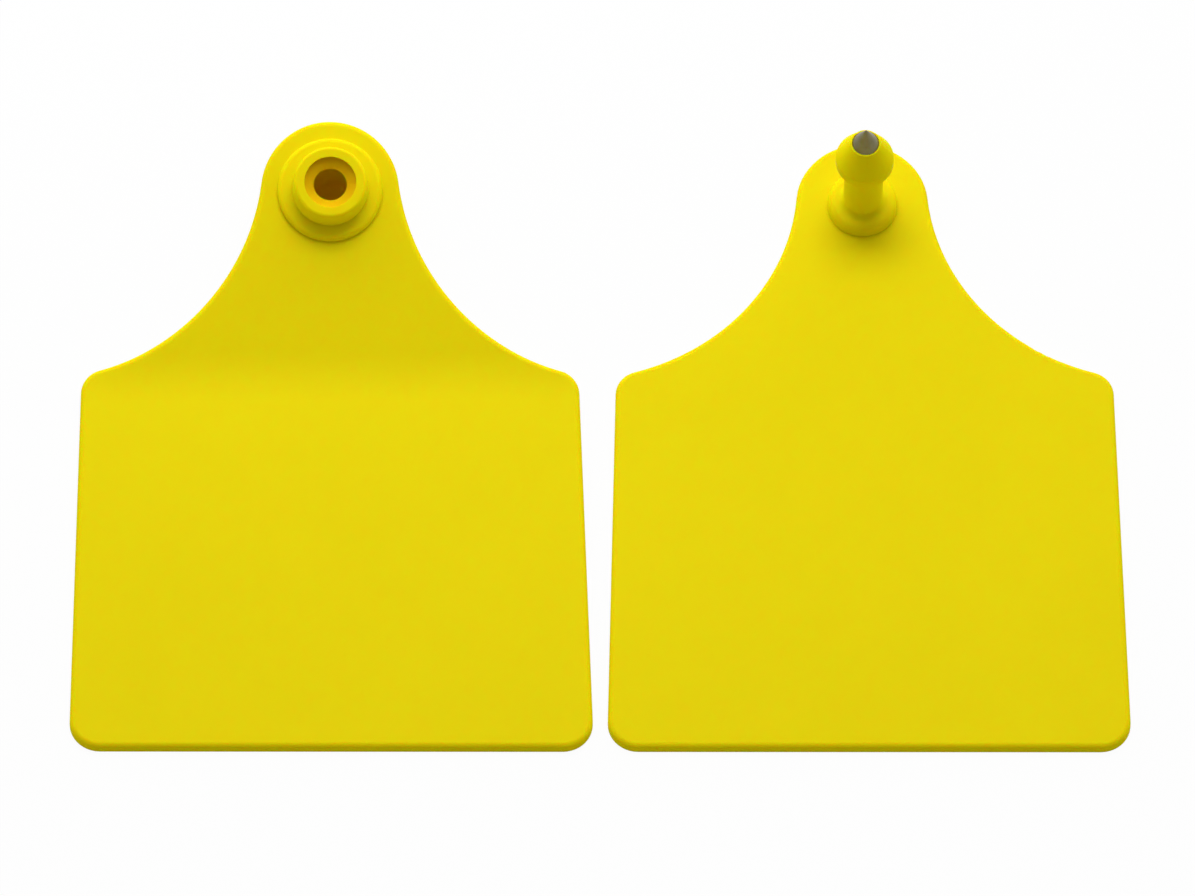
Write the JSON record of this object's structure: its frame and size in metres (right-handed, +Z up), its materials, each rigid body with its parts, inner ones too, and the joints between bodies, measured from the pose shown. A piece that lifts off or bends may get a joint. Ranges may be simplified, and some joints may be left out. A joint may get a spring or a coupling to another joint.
{
  "type": "livestock ear tag",
  "caption": "Two-piece livestock ear tag lying open: a socketed half and a half with a barbed, metal-tipped stud, each a shouldered panel with a round head.",
  "frame": {"origin": "centre of the bottom of the bounding box, on the surface that both halves lie on", "axes": "+Z up, away from the surface; +Y from the panels' bottom edges towards the heads; +X from the female half to the male half"},
  "size_m": [0.154, 0.0998, 0.025],
  "materials": {
    "tag_plastic": "satin",
    "tip_metal": "satin"
  },
  "bodies": {
    "root": {"female_tag": "tag_plastic", "male_tag": "tag_plastic", "metal_tip": "tip_metal"}
  },
  "joints": []
}
